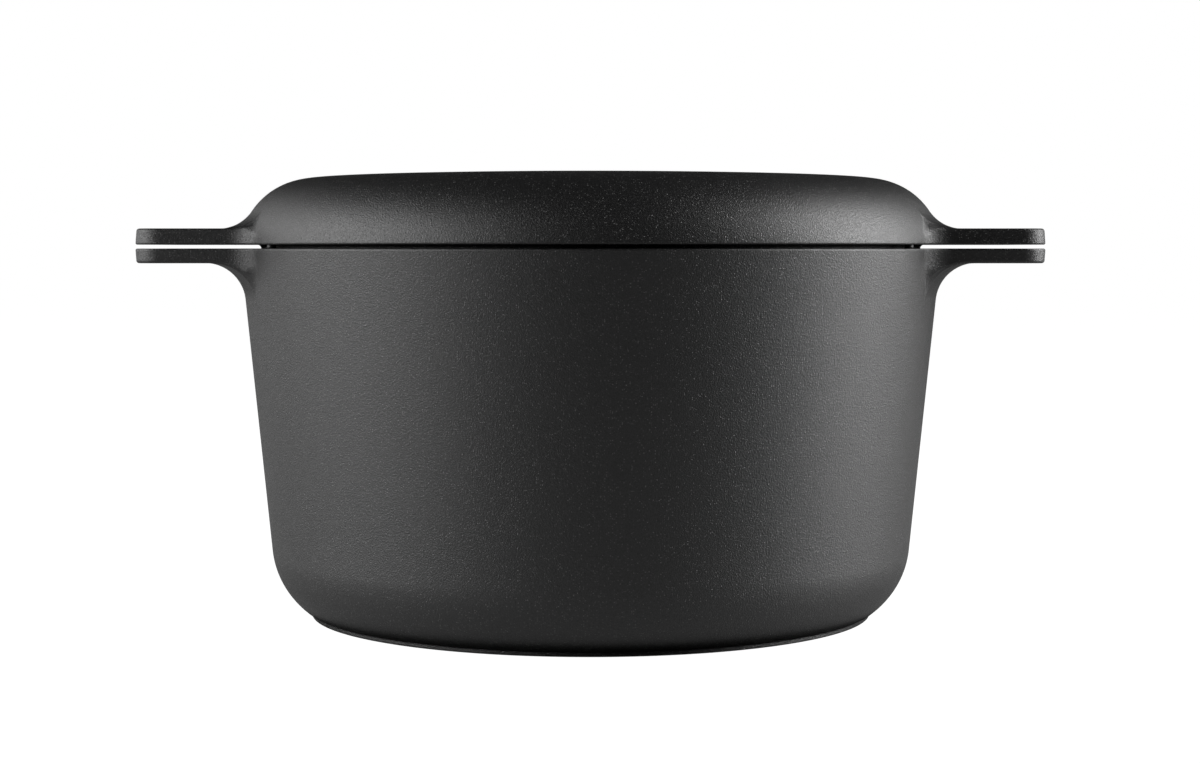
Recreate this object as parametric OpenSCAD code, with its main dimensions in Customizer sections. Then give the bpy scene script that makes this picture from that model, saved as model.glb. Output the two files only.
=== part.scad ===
// Round lidded casserole in cast aluminium, with tab handles cast onto the pot and the lid.
// The pot stands on z = 0 with its axis on Z, and the handles point along +X and -X.

/* [Pot] */
// Outer radius of the pot at its rim
rim_r = 122; // [100:1:150]
// Height of the pot, from the base to the rim
pot_h = 127; // [85:1:180]
// Slope of the wall from upright, in degrees
draft = 5.94; // [3:0.1:8]
// Thickness of the wall, square to its surface
wall_t = 5.5; // [4:0.1:8]
// Thickness of the bottom
base_t = 7; // [5.5:0.1:10]
// Outer radius of the curve between the wall and the foot
corner_r = 29.4; // [24:0.1:36]
// Inner radius of the curve between the wall and the bottom
inner_corner_r = 24; // [16:0.5:30]
// Rounding of the rim's two edges
rim_round = 0.7; // [0.3:0.1:1.2]

/* [Foot] */
// How far the foot's edge lies inside the rim's
foot_inset = 24.4; // [20:0.1:30]
// Height of the round foot under the bottom
foot_h = 1.6; // [1:0.1:3]
// Width of the step where the foot meets the corner
foot_step = 0.8; // [0.3:0.1:1.5]

/* [Induction plate] */
// Width of the ring of aluminium around the steel plate
foot_ring_w = 15.6; // [8:0.2:30]
// Thickness of the steel plate
plate_t = 1.6; // [1:0.1:2.5]
// How far the plate's face lies above the foot's face
plate_sunk = 0.3; // [0.1:0.1:0.6]
// Radius of the studs of aluminium that fill the plate's holes
stud_r = 4; // [2.5:0.5:5]
// Number of rings of studs around the middle one
stud_rings = 3; // [1:1:4]
// Gap around the plate and around each stud
plate_gap = 0.05; // [0.02:0.01:0.2]

/* [Lid] */
// Outer radius of the lid's shoulder
shoulder_r = 25; // [18:0.5:32]
// Slope of the lid's lower edge from upright, in degrees
lid_draft = 5; // [2:0.5:10]
// Slope of the crown where it meets the shoulder, in degrees
crown_slope = 2.2; // [1.5:0.1:5]
// Thickness of the lid
lid_t = 4; // [3:0.1:6]
// Gap between the rim and the lid's lower edge
steam_gap = 1.3; // [0.6:0.1:2.5]
// How far the collar reaches below the lid's lower edge
collar_h = 7; // [4:0.5:12]
// Thickness of the collar
collar_t = 3; // [2:0.1:4]
// Gap between the collar and the inside of the pot
collar_gap = 1.7; // [0.8:0.1:2.5]

/* [Rests] */
// Angle of each rest from the handles' direction
rest_angle = 29; // [28:1:60]
// Diameter of a rest
rest_d = 2.8; // [2:0.1:3.5]

/* [Handles] */
// Length of a handle, from the rim to its tip
handle_l = 30.4; // [22:0.5:50]
// Width of a handle
handle_w = 94; // [70:1:120]
// Thickness of the pot's handles
pot_handle_t = 4.9; // [4:0.1:7]
// Thickness of the lid's handles
lid_handle_t = 5.4; // [4:0.1:7]
// Rounding of a handle's corners, seen from above
tip_r = 9; // [6:1:24]
// Radius of the curve from a handle's side into the body, seen from above
root_r = 12; // [8:1:26]
// Radius of the curve between a handle's broad face and the body
fillet_r = 14; // [8:0.5:16]
// Slope of the handles' tips from upright, in degrees
tip_draft = 4; // [1:0.5:6]

/* [Hidden] */
$fn = 180;
COATING = [0.09, 0.09, 0.095];
LID_COATING = [0.15, 0.15, 0.155];
STEEL = [0.62, 0.62, 0.6];
// Angle between two points of a drawn arc, in degrees
ARC_STEP = 3;
// Depth that a blend runs on inside the body that it joins
SINK = 2;
// Amount that a cut runs past the surface that it opens
CUT = 1;
// Width of the flat that is left beside a fillet on the broad face of a handle
SIDE_LAND = 1;

inner_rim_r = rim_r - wall_t / cos(draft);
foot_r = rim_r - foot_inset;
plate_r = foot_r - foot_ring_w;
plate_top = plate_sunk + plate_t;
stud_pitch = plate_r / (stud_rings + 0.8);
tip_x = rim_r + handle_l;
lid_z = pot_h + steam_gap;
collar_r = inner_rim_r - collar_gap;
rest_r = rim_r - wall_t / 2;

// Centre of the lid's shoulder, radius of its crown, and height of its top
shoulder_c = [rim_r - shoulder_r * cos(lid_draft), lid_z - shoulder_r * sin(lid_draft)];
crown_r = shoulder_c[0] / sin(crown_slope) + shoulder_r;
lid_top = shoulder_c[1] + shoulder_r * cos(crown_slope) + crown_r * (1 - cos(crown_slope));

// Centre of the curve from the side of a handle into the rim
root_c = [sqrt(pow(rim_r + root_r, 2) - pow(handle_w / 2 + root_r, 2)), handle_w / 2 + root_r];

// Points of an arc about c, from angle a to angle b
function arc(c, r, a, b) =
    let (n = max(2, ceil(abs(b - a) / ARC_STEP)))
    [for (i = [0 : n]) c + r * [cos(a + (b - a) * i / n), sin(a + (b - a) * i / n)]];

// Radius of the pot's outside, or of its inside, at height z on the straight wall
function wall_out(z) = rim_r - (pot_h - z) * tan(draft);
function wall_in(z) = inner_rim_r - (pot_h - z) * tan(draft);

// Centre of the curve of radius r that touches the wall and passes through point p
function corner_centre(p, r) =
    let (along = [sin(draft), cos(draft)])
    let (top = [rim_r, pot_h] + r * [-cos(draft), sin(draft)])
    let (q = top - p)
    top + along * (-q * along + sqrt(pow(q * along, 2) - q * q + r * r));

module revolve(points) {
    rotate_extrude() polygon(points);
}

// The outside of the pot, without its handles
module pot_outside() {
    foot_top = [foot_r + foot_step, foot_h];
    c = corner_centre(foot_top, corner_r);
    start = atan2(foot_top[1] - c[1], foot_top[0] - c[0]);
    edge = [wall_out(pot_h - rim_round) - rim_round, pot_h - rim_round];
    revolve(concat(
        [[0, 0], [foot_r, 0], [foot_r, foot_h]],
        arc(c, corner_r, start, -draft),
        arc(edge, rim_round, -draft, 90),
        [[0, pot_h]]
    ));
}

// The inside of the pot, open at the rim
module pot_inside() {
    z = base_t + inner_corner_r;
    c = [wall_in(z) - inner_corner_r / cos(draft), z];
    edge = [wall_in(pot_h - rim_round) + rim_round, pot_h - rim_round];
    revolve(concat(
        [[0, base_t]],
        arc(c, inner_corner_r, -90, -draft),
        arc(edge, rim_round, 180 - draft, 90),
        [[edge[0], pot_h + CUT], [0, pot_h + CUT]]
    ));
}

// Outline of a quarter of the handles, seen from above, from its root to the middle of its tip
quarter_plan = concat(
    arc(root_c, root_r, 180 + atan2(root_c[1], root_c[0]), 270),
    arc([tip_x - tip_r, handle_w / 2 - tip_r], tip_r, 90, 0)
);

// The same points in the other order
function backwards(points) = [for (i = [1 : len(points)]) points[len(points) - i]];

// Outline of both handles, seen from above, with their curved roots
module handle_plan() {
    right = concat(quarter_plan, [for (p = backwards(quarter_plan)) [p[0], -p[1]]]);
    polygon(concat(right, -right));
}

// Both handles as flat tabs from height z, with tips that lean out towards their top or their bottom
module tabs(z, t, wide_top) {
    lean = t * tan(tip_draft);
    bottom = tip_x - (wide_top ? lean : 0);
    top = tip_x - (wide_top ? 0 : lean);
    intersection() {
        translate([0, 0, z]) linear_extrude(t) handle_plan();
        rotate([90, 0, 0]) linear_extrude(handle_w + 2 * root_r + 2 * tip_r, center = true)
            polygon([[-bottom, z], [bottom, z], [top, z + t], [-top, z + t]]);
    }
}

// Keeps a ring of fillet only where a handle stands. Its ends curve in, away from the tab at z
module at_handles(z, away) {
    side = handle_w / 2 - SIDE_LAND;
    intersection() {
        children();
        rotate([90, 0, 90]) linear_extrude(2 * tip_x, center = true)
            polygon(concat(
                arc([side, z + away * fillet_r], fillet_r, -away * 90, -away * 180),
                arc([-side, z + away * fillet_r], fillet_r, 0, -away * 90)
            ));
    }
}

// The curve between the pot's wall and the underside of its handles
module pot_fillets() {
    z = pot_h - pot_handle_t;
    c = [wall_out(z - fillet_r) + fillet_r / cos(draft), z - fillet_r];
    at_handles(z, -1) revolve(concat(
        [[wall_out(z) - SINK, z]],
        arc(c, fillet_r, 90, 180 - draft),
        [[wall_out(z - 2 * fillet_r) - SINK, z - 2 * fillet_r]]
    ));
}

module stud_places() {
    children();
    for (ring = [1 : stud_rings], i = [0 : 6 * ring - 1])
        rotate(i * 60 / ring) translate([ring * stud_pitch, 0]) children();
}

module pot() {
    color(COATING) {
        difference() {
            union() {
                pot_outside();
                tabs(pot_h - pot_handle_t, pot_handle_t, wide_top = true);
                pot_fillets();
            }
            pot_inside();
            translate([0, 0, -CUT]) cylinder(h = plate_top + CUT, r = plate_r + plate_gap);
        }
        stud_places() cylinder(h = plate_top + SINK, r = stud_r);
    }
}

module induction_plate() {
    color(STEEL) translate([0, 0, plate_sunk]) linear_extrude(plate_t) difference() {
        circle(plate_r);
        stud_places() circle(stud_r + plate_gap);
    }
}

// The outside of the lid, without its handles
module lid_outside() {
    revolve(concat(
        [[0, lid_z]],
        arc(shoulder_c, shoulder_r, lid_draft, 90 - crown_slope),
        crown(0)
    ));
}

// Points of the crown, from the shoulder to the axis, at a depth below the outer surface
function crown(depth) =
    [for (i = [1 : 4])
        let (a = crown_slope * (1 - i / 4))
        [(crown_r - depth) * sin(a), lid_top - crown_r + (crown_r - depth) * cos(a)]];

// The collar that drops inside the rim and keeps the lid in place
module collar() {
    low = lid_z - collar_h;
    revolve([
        [0, low],
        [collar_r - collar_h * tan(draft), low],
        [collar_r, lid_z],
        [collar_r, lid_z + CUT],
        [0, lid_z + CUT]
    ]);
}

// The hollow under the lid, open inside the collar
module lid_inside() {
    low = lid_z - collar_h;
    r = shoulder_r - lid_t;
    side = collar_r - collar_h * tan(draft) - collar_t;
    start = acos((side - shoulder_c[0]) / r);
    revolve(concat(
        [[0, low - CUT], [side, low - CUT]],
        arc(shoulder_c, r, start, 90 - crown_slope),
        crown(lid_t)
    ));
}

// The curve between the top of the lid's handles and its shoulder
module lid_fillets() {
    z = lid_z + lid_handle_t;
    dz = z + fillet_r - shoulder_c[1];
    dx = sqrt(pow(shoulder_r + fillet_r, 2) - dz * dz);
    meet = atan2(dz, dx);
    c = shoulder_c + [dx, dz];
    at_handles(z, 1) revolve(concat(
        [shoulder_c + [0, z - shoulder_c[1]]],
        arc(c, fillet_r, 270, 180 + meet),
        [shoulder_c + (shoulder_r - SINK) * [cos(meet), sin(meet)]]
    ));
}

// The small rests that stand the lid on the rim
module rests() {
    for (x = [0, 180], side = [-1, 1])
        rotate(x + side * rest_angle) translate([rest_r, 0, pot_h])
            cylinder(h = steam_gap + CUT, d = rest_d);
}

module lid() {
    color(LID_COATING) difference() {
        union() {
            lid_outside();
            tabs(lid_z, lid_handle_t, wide_top = false);
            lid_fillets();
            collar();
            rests();
        }
        lid_inside();
    }
}

pot();
induction_plate();
lid();
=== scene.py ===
"""Looks of the lidded casserole: both castings as fine meshes, the plate, the coating and the studio."""

import math

import bpy
import numpy as np
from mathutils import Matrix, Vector


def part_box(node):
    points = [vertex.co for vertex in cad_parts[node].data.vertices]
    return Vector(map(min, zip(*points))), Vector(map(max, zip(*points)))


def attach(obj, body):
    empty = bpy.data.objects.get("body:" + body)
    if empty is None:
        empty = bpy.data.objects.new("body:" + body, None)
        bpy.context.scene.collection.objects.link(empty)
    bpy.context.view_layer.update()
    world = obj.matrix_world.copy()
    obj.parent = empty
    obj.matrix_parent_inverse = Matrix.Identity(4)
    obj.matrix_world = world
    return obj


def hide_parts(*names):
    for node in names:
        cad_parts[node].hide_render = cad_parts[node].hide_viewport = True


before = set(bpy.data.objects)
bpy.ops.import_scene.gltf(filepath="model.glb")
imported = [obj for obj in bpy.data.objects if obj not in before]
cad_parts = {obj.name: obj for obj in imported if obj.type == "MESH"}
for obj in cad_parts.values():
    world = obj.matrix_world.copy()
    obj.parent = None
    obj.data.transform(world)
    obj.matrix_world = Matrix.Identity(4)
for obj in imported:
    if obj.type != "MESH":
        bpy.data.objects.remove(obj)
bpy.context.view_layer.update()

MM = 0.001
DEG = math.pi / 180

# ---------------------------------------------------------------- sizes, from the frame and in metres

_, pot_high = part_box("pot")
lid_low, lid_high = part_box("lid")
_, plate_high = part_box("induction_plate")

TIP_X = pot_high.x
RIM_R = pot_high.y
RIM_Z = pot_high.z
LID_TOP = lid_high.z
COLLAR_LOW = lid_low.z
PLATE_R = plate_high.x
PLATE_TOP = plate_high.z

DRAFT = 5.94 * DEG
WALL = 5.5 * MM
BASE = 7 * MM
CORNER_R = 29.4 * MM
INNER_CORNER_R = 24 * MM
FOOT_R = RIM_R - 24.4 * MM
FOOT_H = 1.6 * MM
FOOT_STEP = 0.8 * MM
FOOT_EDGE = 0.3 * MM
PLATE_GAP = 0.05 * MM
STUD_R = 4 * MM
STUD_RINGS = 3

LID_Z = RIM_Z + 1.3 * MM
SHOULDER_R = 25 * MM
LID_DRAFT = 5 * DEG
CROWN_SLOPE = 2.2 * DEG
LID_T = 4 * MM
COLLAR_T = 3 * MM
COLLAR_GAP = 1.7 * MM
COLLAR_ROOT = 1.4 * MM
REST_ANGLE = 29 * DEG
REST_R = 1.4 * MM
REST_EDGE = 0.35 * MM

HANDLE_W = 94 * MM
POT_TAB_T = 4.9 * MM
LID_TAB_T = 5.4 * MM
TIP_R = 9 * MM
ROOT_R = 12 * MM
FILLET_R = 14 * MM
TIP_DRAFT = 4 * DEG

# Rounding of the edges: the rim's and the lid's, and the edge of a handle's broad face
EDGE = 0.6 * MM
TAB_EDGE = 0.9 * MM

# The radius at a handle's side grows this many times as fast as the handle rises from the body
ROOT_GROWTH = 3

# Where the rings of the meshes start to follow the handles: a height on the wall, an angle on the shoulder
FOLLOW_Z = 85 * MM
FOLLOW_ANGLE = 52 * DEG

INNER_RIM_R = RIM_R - WALL / math.cos(DRAFT)
COLLAR_R = INNER_RIM_R - COLLAR_GAP
SHOULDER = np.array([RIM_R - SHOULDER_R * math.cos(LID_DRAFT), LID_Z - SHOULDER_R * math.sin(LID_DRAFT)])
CROWN_R = SHOULDER[0] / math.sin(CROWN_SLOPE) + SHOULDER_R
TAB_LOW = RIM_Z - POT_TAB_T
TAB_HIGH = LID_Z + LID_TAB_T


def wall_out(z):
    return RIM_R - (RIM_Z - z) * math.tan(DRAFT)


def wall_in(z):
    return INNER_RIM_R - (RIM_Z - z) * math.tan(DRAFT)


# ---------------------------------------------------------------- the handles' outline, from above

ROOT = np.array([math.sqrt((RIM_R + ROOT_R) ** 2 - (HANDLE_W / 2 + ROOT_R) ** 2), HANDLE_W / 2 + ROOT_R])
ROOT_ANGLE = math.atan2(ROOT[1], ROOT[0])


def arc(centre, radius, start, end, steps):
    """Points and outward normals of an arc, both ends included."""
    angles = np.linspace(start, end, steps + 1)
    normals = np.column_stack([np.cos(angles), np.sin(angles)])
    return np.array(centre) + radius * normals, normals


def quarter_outline():
    """A quarter of the outline, from the tip's middle to the front of the rim, with outward normals."""
    corner = [TIP_X - TIP_R, HANDLE_W / 2 - TIP_R]
    tip_y = np.linspace(0, corner[1], 14, endpoint=False)
    tip = np.column_stack([np.full(len(tip_y), TIP_X), tip_y])
    bend, bend_n = arc(corner, TIP_R, 0, math.pi / 2, 12)
    side_x = np.linspace(corner[0], ROOT[0], 10)[1:-1]
    side = np.column_stack([side_x, np.full(len(side_x), HANDLE_W / 2)])
    root, root_n = arc(ROOT, ROOT_R, 1.5 * math.pi, math.pi + ROOT_ANGLE, 18)
    rim, rim_n = arc([0, 0], RIM_R, ROOT_ANGLE, math.pi / 2, 44)
    points = np.vstack([tip, bend, side, root, rim[1:]])
    tip_n = np.tile([1, 0], (len(tip), 1))
    side_n = np.tile([0, 1], (len(side), 1))
    normals = np.vstack([tip_n, bend_n, side_n, -root_n, rim_n[1:]])
    return points, normals


def whole_outline():
    """The closed outline and its normals, mirrored from the quarter."""
    points, normals = quarter_outline()
    flip_x = np.array([-1, 1])

    def close(q):
        half = np.vstack([q, (q * flip_x)[-2::-1]])
        return np.vstack([half, -half[1:-1]])

    return close(points), close(normals)


OUTLINE, OUTLINE_N = whole_outline()
ANGLES = np.arctan2(OUTLINE[:, 1], OUTLINE[:, 0])


# ---------------------------------------------------------------- the shape of a casting as a distance

# Cosines beyond which two surfaces are too nearly opposite, or too nearly level, for a fillet
OPPOSITE = -0.9
LEVEL = 0.998

# How far along the way to a point its shape is looked for, and how often the step is then halved
SHARES = np.linspace(0.3, 1.8, 40)
HALVINGS = 24


def round_cut(a, b, r):
    """What two shapes share, with the edge between them rounded to radius r."""
    return np.minimum(-r, np.maximum(a, b)) + np.hypot(np.maximum(r + a, 0), np.maximum(r + b, 0))


def slope(shape, points):
    """How fast a shape's distance grows along X, Y and Z."""
    step = 0.002 * MM
    return np.column_stack([
        (shape(points + step * axis) - shape(points - step * axis)) / (2 * step) for axis in np.eye(3)
    ])


def blend(first, second, r, points):
    """Joins two shapes with a fillet of radius r, whatever the angle between them."""
    alike = np.clip((slope(first, points) * slope(second, points)).sum(1), OPPOSITE, LEVEL)
    a, b = first(points), second(points)
    over_a, over_b = r - a, r - b
    spread = (over_a ** 2 + over_b ** 2 - 2 * alike * over_a * over_b) / (1 - alike ** 2)
    fillet = r - np.sqrt(np.maximum(spread, 0))
    return np.where(over_b <= alike * over_a, a, np.where(over_a <= alike * over_b, b, fillet))


def strip(x, y):
    """Distance to the strip that both handles are cut from, with its rounded corners."""
    qx = np.abs(x) - (TIP_X - TIP_R)
    qy = np.abs(y) - (HANDLE_W / 2 - TIP_R)
    return np.hypot(np.maximum(qx, 0), np.maximum(qy, 0)) + np.minimum(np.maximum(qx, qy), 0) - TIP_R


def side(points, edge_z):
    """Distance to the side of the handles, which slopes in away from the flush face."""
    x, y, z = points.T
    return (strip(x, y) + np.abs(z - edge_z) * math.tan(TIP_DRAFT)) * math.cos(TIP_DRAFT)


def pot_wall(points):
    x, y, z = points.T
    return (np.hypot(x, y) - wall_out(z)) * math.cos(DRAFT)


def pot_underside(points):
    return TAB_LOW - points[:, 2]


def pot_broad(points):
    """Distance to the pot with a handle all the way round."""
    return blend(pot_wall, pot_underside, FILLET_R, points)


def pot_tabs(points):
    return round_cut(side(points, RIM_Z), pot_broad(points), TAB_EDGE)


def root_radius(rise):
    """Radius at the side of a handle: it shrinks to nothing where the handle runs out into the body."""
    return np.clip(ROOT_GROWTH * rise, 0, ROOT_R)


def pot_shape(points):
    root = root_radius(pot_wall(points) - pot_broad(points))
    return round_cut(blend(pot_wall, pot_tabs, root, points), points[:, 2] - RIM_Z, EDGE)


def lid_fillet():
    """Angle up the shoulder where the fillet over the handles starts, and the fillet's centre."""
    reach = SHOULDER_R + FILLET_R
    meet = math.asin((TAB_HIGH + FILLET_R - SHOULDER[1]) / reach)
    return meet, SHOULDER + reach * np.array([math.cos(meet), math.sin(meet)])


def lid_shoulder(points):
    x, y, z = points.T
    return np.hypot(np.hypot(x, y) - SHOULDER[0], z - SHOULDER[1]) - SHOULDER_R


def lid_broad(points):
    """Distance to the lid's shoulder with a handle all the way round."""
    x, y, z = points.T
    r = np.hypot(x, y)
    meet, centre = lid_fillet()
    below = (r - SHOULDER[0]) * math.sin(meet) - (z - SHOULDER[1]) * math.cos(meet) > 0
    bent = FILLET_R - np.hypot(r - centre[0], z - centre[1])
    return np.where(r >= centre[0], z - TAB_HIGH, np.where(below, bent, lid_shoulder(points)))


def lid_tabs(points):
    return round_cut(side(points, LID_Z), lid_broad(points), TAB_EDGE)


def lid_shape(points):
    root = root_radius(lid_shoulder(points) - lid_broad(points))
    return round_cut(blend(lid_shoulder, lid_tabs, root, points), LID_Z - points[:, 2], EDGE)


def settle(points, shape, pivot):
    """Moves points onto a shape, along lines from a circle inside it, so that they stay in order."""
    angles = np.arctan2(points[:, 1], points[:, 0])
    pivot_r, pivot_z = pivot
    height = np.full(len(points), pivot_z)
    start = np.column_stack([pivot_r * np.cos(angles), pivot_r * np.sin(angles), height])
    reach = points - start
    outside = np.array([shape(start + share * reach) > 0 for share in SHARES])
    first = np.maximum(outside.argmax(0), 1)
    near, far = SHARES[first - 1], SHARES[first]
    for _ in range(HALVINGS):
        middle = (near + far) / 2
        out = shape(start + middle[:, None] * reach) > 0
        near, far = np.where(out, near, middle), np.where(out, middle, far)
    return start + near[:, None] * reach


# ---------------------------------------------------------------- rings of points for a casting

def circle(r, z):
    return np.column_stack([r * np.cos(ANGLES), r * np.sin(ANGLES), np.full(len(ANGLES), z)])


def inset(depth, z):
    """The outline moved inwards by a depth, at height z."""
    flat = OUTLINE - depth * OUTLINE_N
    return np.column_stack([flat, np.broadcast_to(z, len(flat))])


def arc_rings(centre, radius, start, end, steps):
    """Circles along an arc of the profile, without its first point."""
    points, _ = arc(centre, radius, start, end, steps)
    return [circle(r, z) for r, z in points[1:]]


def line_rings(start, end, steps):
    """Circles along a straight stretch of the profile, without its first point."""
    return [circle(*p) for p in np.linspace(start, end, steps + 1)[1:]]


def handle_rings(base, base_length, centre, start, up, edge_z, shape):
    """Rings over the fillet and the broad face of the handles, round their edge and to the flush face.

    base gives the profile of the body up to the fillet, centre is the fillet's, start is the angle where it
    leaves the body, up is 1 where the handle's flush face is above and -1 where it is below."""
    turn = FILLET_R * (math.pi / 2 - start)
    margin = 2 * TAB_EDGE

    def fillet_z(r):
        run = np.clip(centre[0] - r, 0, FILLET_R)
        return centre[1] + up * np.sqrt(FILLET_R ** 2 - run ** 2)

    land = inset(margin, 0)
    land_r = np.hypot(land[:, 0], land[:, 1])
    land_angle = np.arctan2(land[:, 1], land[:, 0])
    bent = FILLET_R * (np.arccos(np.clip((centre[0] - land_r) / FILLET_R, -1, 1)) - start)
    length = np.where(land_r > centre[0], turn + land_r - centre[0], bent)
    rings = []
    for share in np.linspace(0, 1, 44)[1:]:
        s = share * (base_length + length)
        base_r, base_z = base(np.minimum(s, base_length))
        t = np.maximum(s - base_length, 0)
        a = start + np.minimum(t, turn) / FILLET_R
        r = np.where(t > 0, centre[0] - FILLET_R * np.cos(a) + np.maximum(t - turn, 0), base_r)
        z = np.where(t > 0, centre[1] + up * FILLET_R * np.sin(a), base_z)
        rings.append(np.column_stack([r * np.cos(land_angle), r * np.sin(land_angle), z]))
    for depth in np.linspace(margin, 0, 7)[1:]:
        ring = inset(depth, 0)
        ring[:, 2] = fillet_z(np.hypot(ring[:, 0], ring[:, 1]))
        rings.append(ring)

    # Round the edges the rings lie close together, at multiples of the edge's radius
    low = rings[-1][:, 2]
    climb = [TAB_EDGE * b for b in (0.15, 0.3, 0.45, 0.6, 0.8, 1, 1.3)]
    rings += [inset(0, low + up * c) for c in climb]
    near, far = low + up * climb[-1], edge_z - up * 2 * EDGE
    rings += [inset(0, near + (far - near) * share) for share in (0.2, 0.4, 0.6, 0.8, 1)]
    rings += [inset(0, edge_z - up * EDGE * b) for b in (1.5, 1.1, 0.8, 0.5, 0.25)]
    rings += [inset(EDGE * b, edge_z) for b in (0.1, 0.3, 0.55, 0.85, 1.2, 1.6)]
    pivot = [RIM_R - SHOULDER_R, edge_z - up * (POT_TAB_T + LID_TAB_T) / 4]
    return [settle(ring, shape, pivot) for ring in rings]


def flush_rings(edge_ring, r, z, steps):
    """Flat rings from the edge of the handles in to a circle."""
    inner = circle(r, z)
    return [edge_ring + (inner - edge_ring) * share for share in np.linspace(0, 1, steps + 1)[1:]]


def casting(name, first_z, rings, last_z):
    """A closed mesh through the rings, with a centre point at each end."""
    n = len(ANGLES)
    points = np.vstack([[[0, 0, first_z]], *rings, [[0, 0, last_z]]])
    last = len(points) - 1
    faces = [(0, 1 + (i + 1) % n, 1 + i) for i in range(n)]
    for k in range(len(rings) - 1):
        a, b = 1 + k * n, 1 + (k + 1) * n
        faces += [(a + i, a + (i + 1) % n, b + (i + 1) % n, b + i) for i in range(n)]
    a = 1 + (len(rings) - 1) * n
    faces += [(a + i, a + (i + 1) % n, last) for i in range(n)]
    mesh = bpy.data.meshes.new(name)
    mesh.from_pydata(points.tolist(), [], faces)
    mesh.shade_smooth()
    piece = bpy.data.objects.new(name, mesh)
    bpy.context.scene.collection.objects.link(piece)
    return piece


def turned(profile, places, sides=40):
    """Vertices and faces of a small turned solid at each place. The profile starts and ends on its axis."""
    points, faces = [], []
    angles = np.arange(sides) * 2 * math.pi / sides
    for x, y in places:
        first = len(points)
        points.append((x, y, profile[0][1]))
        for r, z in profile[1:-1]:
            points += [(x + r * math.cos(a), y + r * math.sin(a), z) for a in angles]
        points.append((x, y, profile[-1][1]))
        last = len(points) - 1
        rings = len(profile) - 2
        for i in range(sides):
            j = (i + 1) % sides
            faces.append((first, first + 1 + j, first + 1 + i))
            for k in range(rings - 1):
                a, b = first + 1 + k * sides, first + 1 + (k + 1) * sides
                faces.append((a + i, a + j, b + j, b + i))
            a = first + 1 + (rings - 1) * sides
            faces.append((a + i, a + j, last))
    return points, faces


def add_turned(piece, profile, places):
    """Adds small turned solids to a casting's mesh."""
    points, faces = turned(profile, places)
    mesh = piece.data
    old_points = [tuple(v.co) for v in mesh.vertices]
    old_faces = [tuple(p.vertices) for p in mesh.polygons]
    shift = len(old_points)
    moved = [tuple(v + shift for v in face) for face in faces]
    mesh.clear_geometry()
    mesh.from_pydata(old_points + points, [], old_faces + moved)
    mesh.shade_smooth()


# ---------------------------------------------------------------- the pot

def corner_centre():
    """Centre of the corner's curve, which touches the wall and passes through the top of the foot."""
    along = np.array([math.sin(DRAFT), math.cos(DRAFT)])
    top = np.array([RIM_R, RIM_Z]) + CORNER_R * np.array([-math.cos(DRAFT), math.sin(DRAFT)])
    q = top - np.array([FOOT_R + FOOT_STEP, FOOT_H])
    return top + along * (-q @ along + math.sqrt((q @ along) ** 2 - q @ q + CORNER_R ** 2))


def stud_places():
    pitch = PLATE_R / (STUD_RINGS + 0.8)
    places = [(0, 0)]
    for ring in range(1, STUD_RINGS + 1):
        turns = [math.pi / 3 / ring * i for i in range(6 * ring)]
        places += [(ring * pitch * math.cos(a), ring * pitch * math.sin(a)) for a in turns]
    return places


def make_pot():
    """Rings from the plate's recess, round the outside and over the rim, to the middle of the inside."""
    soft = FOOT_EDGE
    hole = PLATE_R + PLATE_GAP
    corner = corner_centre()
    foot_angle = math.atan2(FOOT_H - corner[1], FOOT_R + FOOT_STEP - corner[0])
    wall_start = corner + CORNER_R * np.array([math.cos(DRAFT), -math.sin(DRAFT)])

    rings = line_rings([0, PLATE_TOP], [hole, PLATE_TOP], 3)
    rings += line_rings([hole, PLATE_TOP], [hole, soft], 2)
    rings += arc_rings([hole + soft, soft], soft, math.pi, 1.5 * math.pi, 3)
    rings += line_rings([hole + soft, 0], [FOOT_R - soft, 0], 6)
    rings += arc_rings([FOOT_R - soft, soft], soft, -math.pi / 2, 0, 3)
    rings += line_rings([FOOT_R, soft], [FOOT_R, FOOT_H - soft], 2)
    rings += arc_rings([FOOT_R + soft, FOOT_H - soft], soft, math.pi, math.pi / 2, 3)
    rings += arc_rings(corner, CORNER_R, foot_angle, -DRAFT, 30)
    rings += line_rings(wall_start, [wall_out(FOLLOW_Z), FOLLOW_Z], 14)

    centre = np.array([wall_out(TAB_LOW - FILLET_R) + FILLET_R / math.cos(DRAFT), TAB_LOW - FILLET_R])
    leave_z = centre[1] + FILLET_R * math.sin(DRAFT)

    def base(s):
        z = FOLLOW_Z + s * math.cos(DRAFT)
        return wall_out(z), z

    base_length = (leave_z - FOLLOW_Z) / math.cos(DRAFT)
    rings += handle_rings(base, base_length, centre, DRAFT, 1, RIM_Z, pot_shape)
    mouth = wall_in(RIM_Z - EDGE)
    rings += flush_rings(rings[-1], mouth + EDGE, RIM_Z, 6)
    rings += arc_rings([mouth + EDGE, RIM_Z - EDGE], EDGE, math.pi / 2, math.pi, 5)

    floor_z = BASE + INNER_CORNER_R
    floor_corner = [wall_in(floor_z) - INNER_CORNER_R / math.cos(DRAFT), floor_z]
    bend_z = floor_z - INNER_CORNER_R * math.sin(DRAFT)
    rings += line_rings([mouth, RIM_Z - EDGE], [wall_in(bend_z), bend_z], 20)
    rings += arc_rings(floor_corner, INNER_CORNER_R, -DRAFT, -math.pi / 2, 20)
    rings += line_rings([floor_corner[0], BASE], [0, BASE], 12)[:-1]
    piece = casting("pot_casting", PLATE_TOP, rings, BASE)

    bends = [(soft * math.sin(a), soft * math.cos(a)) for a in (0, 0.5, 1, 1.57)]
    stud = [(0, 0)] + [(STUD_R - soft + out, soft - up) for out, up in bends]
    stud += [(STUD_R, PLATE_TOP + MM), (0, PLATE_TOP + MM)]
    add_turned(piece, stud, stud_places())
    return piece


# ---------------------------------------------------------------- the lid

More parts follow.
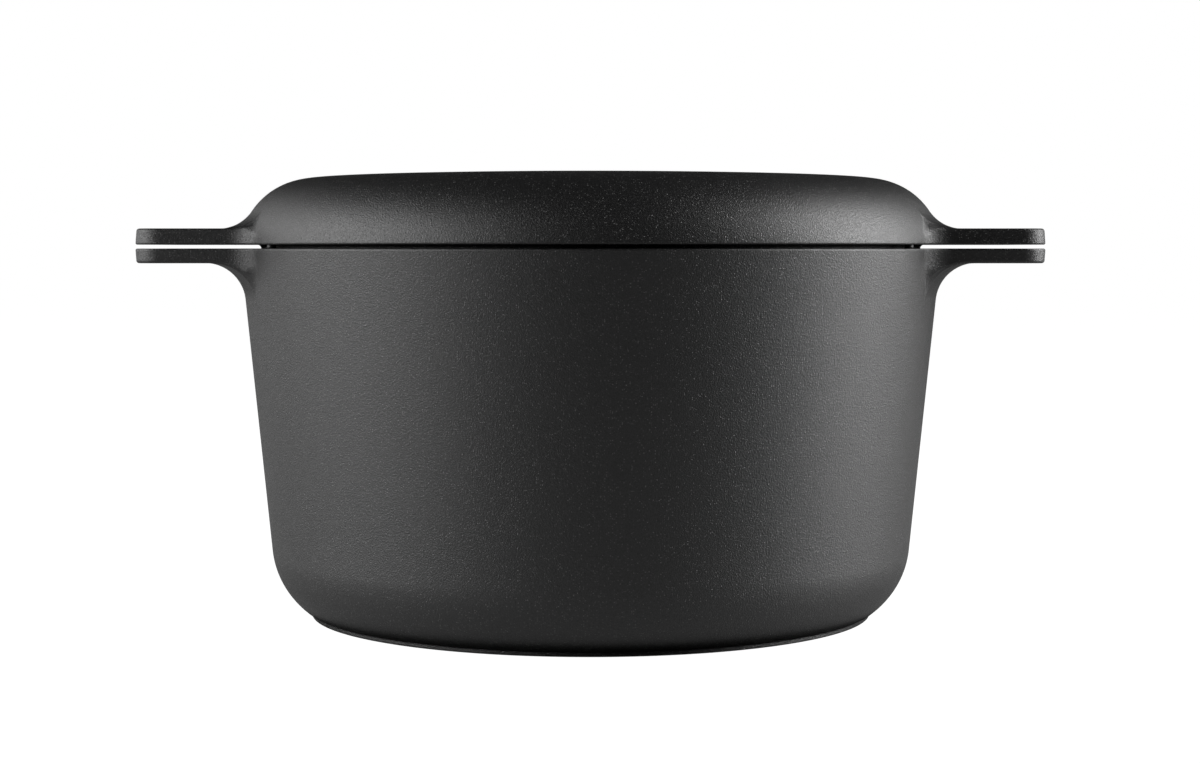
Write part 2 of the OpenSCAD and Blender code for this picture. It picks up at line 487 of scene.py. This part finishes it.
def make_lid():
    """Rings from the crown, over the shoulder and round the collar, to the middle of the inside."""
    meet, centre = lid_fillet()

    def base(s):
        a = FOLLOW_ANGLE - s / SHOULDER_R
        return SHOULDER[0] + SHOULDER_R * np.cos(a), SHOULDER[1] + SHOULDER_R * np.sin(a)

    crown = [0, LID_TOP - CROWN_R]
    rings = arc_rings(crown, CROWN_R, math.pi / 2, math.pi / 2 - CROWN_SLOPE, 24)
    rings += arc_rings(SHOULDER, SHOULDER_R, math.pi / 2 - CROWN_SLOPE, FOLLOW_ANGLE, 16)
    base_length = SHOULDER_R * (FOLLOW_ANGLE - meet)
    rings += handle_rings(base, base_length, centre, meet, -1, LID_Z, lid_shape)
    rings += flush_rings(rings[-1], COLLAR_R + COLLAR_ROOT, LID_Z, 6)

    tip_r = COLLAR_R - (LID_Z - COLLAR_LOW) * math.tan(DRAFT)
    inner = tip_r - COLLAR_T
    soft = EDGE
    collar_root = [COLLAR_R + COLLAR_ROOT, LID_Z - COLLAR_ROOT]
    rings += arc_rings(collar_root, COLLAR_ROOT, math.pi / 2, math.pi, 6)
    rings += line_rings([COLLAR_R, LID_Z - COLLAR_ROOT], [tip_r, COLLAR_LOW + soft], 4)
    rings += arc_rings([tip_r - soft, COLLAR_LOW + soft], soft, 0, -math.pi / 2, 5)
    rings += line_rings([tip_r - soft, COLLAR_LOW], [inner + soft, COLLAR_LOW], 1)
    rings += arc_rings([inner + soft, COLLAR_LOW + soft], soft, -math.pi / 2, -math.pi, 5)

    hollow_r = SHOULDER_R - LID_T
    start = math.acos((inner - SHOULDER[0]) / hollow_r)
    meet_z = SHOULDER[1] + hollow_r * math.sin(start)
    rings += line_rings([inner, COLLAR_LOW + soft], [inner, meet_z], 8)
    rings += arc_rings(SHOULDER, hollow_r, start, math.pi / 2 - CROWN_SLOPE, 12)
    rings += arc_rings(crown, CROWN_R - LID_T, math.pi / 2 - CROWN_SLOPE, math.pi / 2, 16)[:-1]
    piece = casting("lid_casting", LID_TOP, rings[1:], LID_TOP - LID_T)

    place_r = RIM_R - WALL / 2
    turns = [sign * REST_ANGLE + half for half in (0, math.pi) for sign in (-1, 1)]
    places = [(place_r * math.cos(a), place_r * math.sin(a)) for a in turns]
    bends = [(REST_EDGE * math.sin(a), REST_EDGE * math.cos(a)) for a in (0, 0.8, 1.57)]
    rest = [(0, RIM_Z)] + [(REST_R - REST_EDGE + out, RIM_Z + REST_EDGE - up) for out, up in bends]
    rest += [(REST_R, LID_Z + MM), (0, LID_Z + MM)]
    add_turned(piece, rest, places)
    return piece


def face_out(piece):
    """Turns the faces so that they all look outwards."""
    bpy.context.view_layer.objects.active = piece
    piece.select_set(True)
    bpy.ops.object.mode_set(mode="EDIT")
    bpy.ops.mesh.select_all(action="SELECT")
    bpy.ops.mesh.normals_make_consistent(inside=False)
    bpy.ops.object.mode_set(mode="OBJECT")
    piece.select_set(False)


# ---------------------------------------------------------------- materials

# Features in a metre of the coating: its grain and the cells that its flecks are chosen from
GRAIN_SCALE = 2100.0
FLECK_SCALE = 1700.0


class Nodes:
    """Short calls for building a node material."""

    def __init__(self, name):
        self.material = bpy.data.materials.new(name)
        self.material.use_nodes = True
        self.tree = self.material.node_tree
        self.shader = self.tree.nodes["Principled BSDF"]

    def add(self, kind, settings=None, **inputs):
        node = self.tree.nodes.new(kind)
        for key, value in (settings or {}).items():
            setattr(node, key, value)
        for key, value in inputs.items():
            self.set(node, key.replace("_", " "), value)
        return node

    def set(self, node, key, value):
        socket = node.inputs[key]
        if isinstance(value, bpy.types.NodeSocket):
            self.tree.links.new(value, socket)
        else:
            socket.default_value = value

    def place(self):
        return self.add("ShaderNodeTexCoord").outputs["Object"]

    def noise(self, place, scale, detail=2.0, rough=0.5):
        node = self.add("ShaderNodeTexNoise", Vector=place, Scale=scale, Detail=detail, Roughness=rough)
        return node.outputs["Fac"]

    def cells(self, place, scale):
        node = self.add("ShaderNodeTexVoronoi", Vector=place, Scale=scale)
        return node.outputs

    def ramp(self, value, low, high, low_out=0.0, high_out=1.0):
        node = self.add("ShaderNodeMapRange", {"clamp": True})
        self.set(node, "Value", value)
        ends = {"From Min": low, "From Max": high, "To Min": low_out, "To Max": high_out}
        for key, number in ends.items():
            self.set(node, key, number)
        return node.outputs["Result"]

    def math(self, operation, a, b=0.0):
        node = self.add("ShaderNodeMath", {"operation": operation})
        self.set(node, 0, a)
        self.set(node, 1, b)
        return node.outputs["Value"]

    def mix(self, share, a, b):
        node = self.add("ShaderNodeMix", {"data_type": "RGBA"})
        self.set(node, 0, share)
        self.set(node, 6, a)
        self.set(node, 7, b)
        return node.outputs[2]

    def bump(self, height, strength, distance):
        node = self.add("ShaderNodeBump", Height=height, Strength=strength, Distance=distance)
        self.set(self.shader, "Normal", node.outputs["Normal"])


def coating(name, base, fleck, contrast, shine):
    """Matt black non-stick coating with a fine grain, in which small flecks catch the light."""
    m = Nodes(name)
    place = m.place()
    cloud = m.ramp(m.noise(place, 14.0, 3.0), 0.3, 0.7, 0.9, 1.1)
    grain = m.noise(place, GRAIN_SCALE, 2.0, 0.6)
    light = m.ramp(grain, 0.3, 0.7, 1 - contrast, 1 + contrast)
    cells = m.cells(place, FLECK_SCALE)
    luck = m.add("ShaderNodeSeparateColor", Color=cells["Color"]).outputs["Red"]
    chosen = m.ramp(luck, 0.6, 1.0)
    flecks = m.math("MULTIPLY", chosen, m.ramp(cells["Distance"], 0.42, 0.15))
    tone = m.add("ShaderNodeVectorMath", {"operation": "SCALE"})
    tone.inputs[0].default_value = base
    m.set(tone, "Scale", m.math("MULTIPLY", cloud, light))
    m.set(m.shader, "Base Color", m.mix(flecks, tone.outputs["Vector"], (*fleck, 1)))
    m.set(m.shader, "Roughness", m.ramp(light, 1 - contrast, 1 + contrast, 0.6, 0.34))
    m.set(m.shader, "Metallic", 0.0)
    m.set(m.shader, "Specular IOR Level", shine)
    m.bump(m.math("ADD", grain, m.math("MULTIPLY", flecks, 0.5)), 0.8, 0.2 * MM)
    return m.material


def turned_metal(name, base, rough, pitch):
    """Bare metal, faced on a lathe: fine rings round the axis."""
    m = Nodes(name)
    place = m.place()
    flat = m.add("ShaderNodeVectorMath", {"operation": "MULTIPLY"})
    m.set(flat, 0, place)
    flat.inputs[1].default_value = (1, 1, 0)
    radius = m.add("ShaderNodeVectorMath", {"operation": "LENGTH"})
    m.set(radius, 0, flat.outputs["Vector"])
    wobble = m.math("MULTIPLY", m.noise(place, 40.0), 0.4 * MM)
    turns = m.math("MULTIPLY", m.math("ADD", radius.outputs["Value"], wobble), 2 * math.pi / pitch)
    groove = m.ramp(m.math("SINE", turns), -1, 1)
    stain = m.ramp(m.noise(place, 30.0, 4.0), 0.35, 0.7)
    tone = m.mix(stain, (*base, 1), (*[c * 0.8 for c in base], 1))
    shade = m.math("MULTIPLY", groove, 0.25)
    m.set(m.shader, "Base Color", m.mix(shade, tone, (*[c * 0.7 for c in base], 1)))
    m.set(m.shader, "Roughness", m.ramp(stain, 0, 1, rough, rough + 0.12))
    m.set(m.shader, "Metallic", 1.0)
    m.bump(groove, 0.3, 0.03 * MM)
    return m.material


# ---------------------------------------------------------------- the pieces

def is_bare(face):
    """Whether a face of the pot is bare metal: on the foot's ring, a stud or the recess for the plate."""
    return face.center.z < 0.2 * MM or (
        face.center.z < PLATE_TOP + 2 * MM and face.center.xy.length < PLATE_R + MM
    )


pot_coat = coating("pot_coating", (0.007, 0.007, 0.0072), (0.12, 0.12, 0.117), 0.8, 1.0)
lid_coat = coating("lid_coating", (0.008, 0.008, 0.0082), (0.17, 0.17, 0.166), 0.8, 0.85)
faced_aluminium = turned_metal("faced_aluminium", (0.62, 0.62, 0.63), 0.32, 0.6 * MM)
plate_steel = turned_metal("plate_steel", (0.5, 0.49, 0.47), 0.36, 0.8 * MM)

pot = make_pot()
face_out(pot)
pot.data.materials.append(pot_coat)
pot.data.materials.append(faced_aluminium)
for face in pot.data.polygons:
    if is_bare(face):
        face.material_index = 1
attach(pot, "pot")
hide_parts("pot")

lid = make_lid()
face_out(lid)
lid.data.materials.append(lid_coat)
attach(lid, "lid")
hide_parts("lid")

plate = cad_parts["induction_plate"]
plate.data.materials.clear()
plate.data.materials.append(plate_steel)


# ---------------------------------------------------------------- the studio

# The camera: level with the rim, a little right of the middle, and tilted down
CAMERA_PLACE = (3.2 * MM, -822.6 * MM, 127.3 * MM)
CAMERA_TILT = 1.0 * DEG
CAMERA_LENS = 70.2
CAMERA_SHIFT = -0.0775

# The height that the soft lights point at
AIM_Z = 80 * MM


def make_stage():
    """A white floor that the camera sees under the object and that isn't seen in the coating."""
    half = 8.0
    mesh = bpy.data.meshes.new("studio_floor")
    corners = [(-half, -half, 0), (half, -half, 0), (half, half, 0), (-half, half, 0)]
    mesh.from_pydata(corners, [], [(0, 1, 2, 3)])
    floor = bpy.data.objects.new("studio_floor", mesh)
    bpy.context.scene.collection.objects.link(floor)
    m = Nodes("studio_paper")
    fibre = m.noise(m.place(), 60.0)
    m.set(m.shader, "Base Color", m.mix(fibre, (0.1, 0.1, 0.1, 1), (0.12, 0.12, 0.12, 1)))
    m.set(m.shader, "Roughness", 0.9)
    m.set(m.shader, "Specular IOR Level", 0.0)
    m.set(m.shader, "Emission Color", (1, 1, 1, 1))
    m.set(m.shader, "Emission Strength", 1.0)
    mesh.materials.append(m.material)
    floor.visible_diffuse = False
    floor.visible_glossy = False


def softbox(name, azimuth, height, distance, size, power):
    """A light beside the object, unseen by the camera. Azimuth 0 is the camera's side, and 90 is +X."""
    a = azimuth * DEG
    place = Vector((math.sin(a) * distance, -math.cos(a) * distance, height))
    light = bpy.data.lights.new(name, "AREA")
    light.shape = "RECTANGLE"
    light.size, light.size_y = size
    light.energy = power
    lamp = bpy.data.objects.new(name, light)
    lamp.location = place
    lamp.rotation_euler = (Vector((0, 0, AIM_Z)) - place).to_track_quat("-Z", "Y").to_euler()
    lamp.visible_camera = False
    bpy.context.scene.collection.objects.link(lamp)


def floor_glow():
    """What the coating shows of the pale floor: a ring of light that leaves out the dark round the foot."""
    sides = 96
    inner_r, outer_r = 102 * MM, 800 * MM
    angles = [2 * math.pi * i / sides for i in range(sides)]
    points = [(r * math.cos(a), r * math.sin(a), MM) for r in (inner_r, outer_r) for a in angles]
    faces = [(i, (i + 1) % sides, sides + (i + 1) % sides, sides + i) for i in range(sides)]
    mesh = bpy.data.meshes.new("floor_glow")
    mesh.from_pydata(points, [], faces)
    ring = bpy.data.objects.new("floor_glow", mesh)
    bpy.context.scene.collection.objects.link(ring)
    m = Nodes("floor_glow")
    m.set(m.shader, "Base Color", (0, 0, 0, 1))
    m.set(m.shader, "Emission Color", (1, 1, 1, 1))
    m.set(m.shader, "Emission Strength", 0.22)
    mesh.materials.append(m.material)
    ring.visible_camera = False
    ring.visible_shadow = False


def make_world():
    """A white room that shows behind the object and doesn't light it."""
    world = bpy.data.worlds.new("studio")
    world.use_nodes = True
    world.node_tree.nodes["Background"].inputs["Color"].default_value = (1, 1, 1, 1)
    world.cycles_visibility.diffuse = False
    world.cycles_visibility.glossy = False
    bpy.context.scene.world = world


def make_camera():
    """A long lens, tilted and shifted down a little to frame the whole pot."""
    camera = bpy.data.cameras.new("camera")
    camera.sensor_width = 36
    camera.lens = CAMERA_LENS
    camera.shift_y = CAMERA_SHIFT
    holder = bpy.data.objects.new("camera", camera)
    holder.location = CAMERA_PLACE
    holder.rotation_euler = (90 * DEG - CAMERA_TILT, 0, 0)
    bpy.context.scene.collection.objects.link(holder)
    bpy.context.scene.camera = holder


make_stage()
make_world()
softbox("left_softbox", -78, 0.55, 1.4, (1.8, 1.15), 22.5)
softbox("left_rear_softbox", -130, 0.38, 1.4, (0.9, 0.8), 2)
softbox("right_softbox", 96, 0.55, 1.4, (0.95, 1.15), 27)
softbox("front_fill", 5, 1.2, 1.6, (0.8, 0.8), 0.12)
floor_glow()
make_camera()
bpy.context.scene.view_settings.view_transform = "Standard"
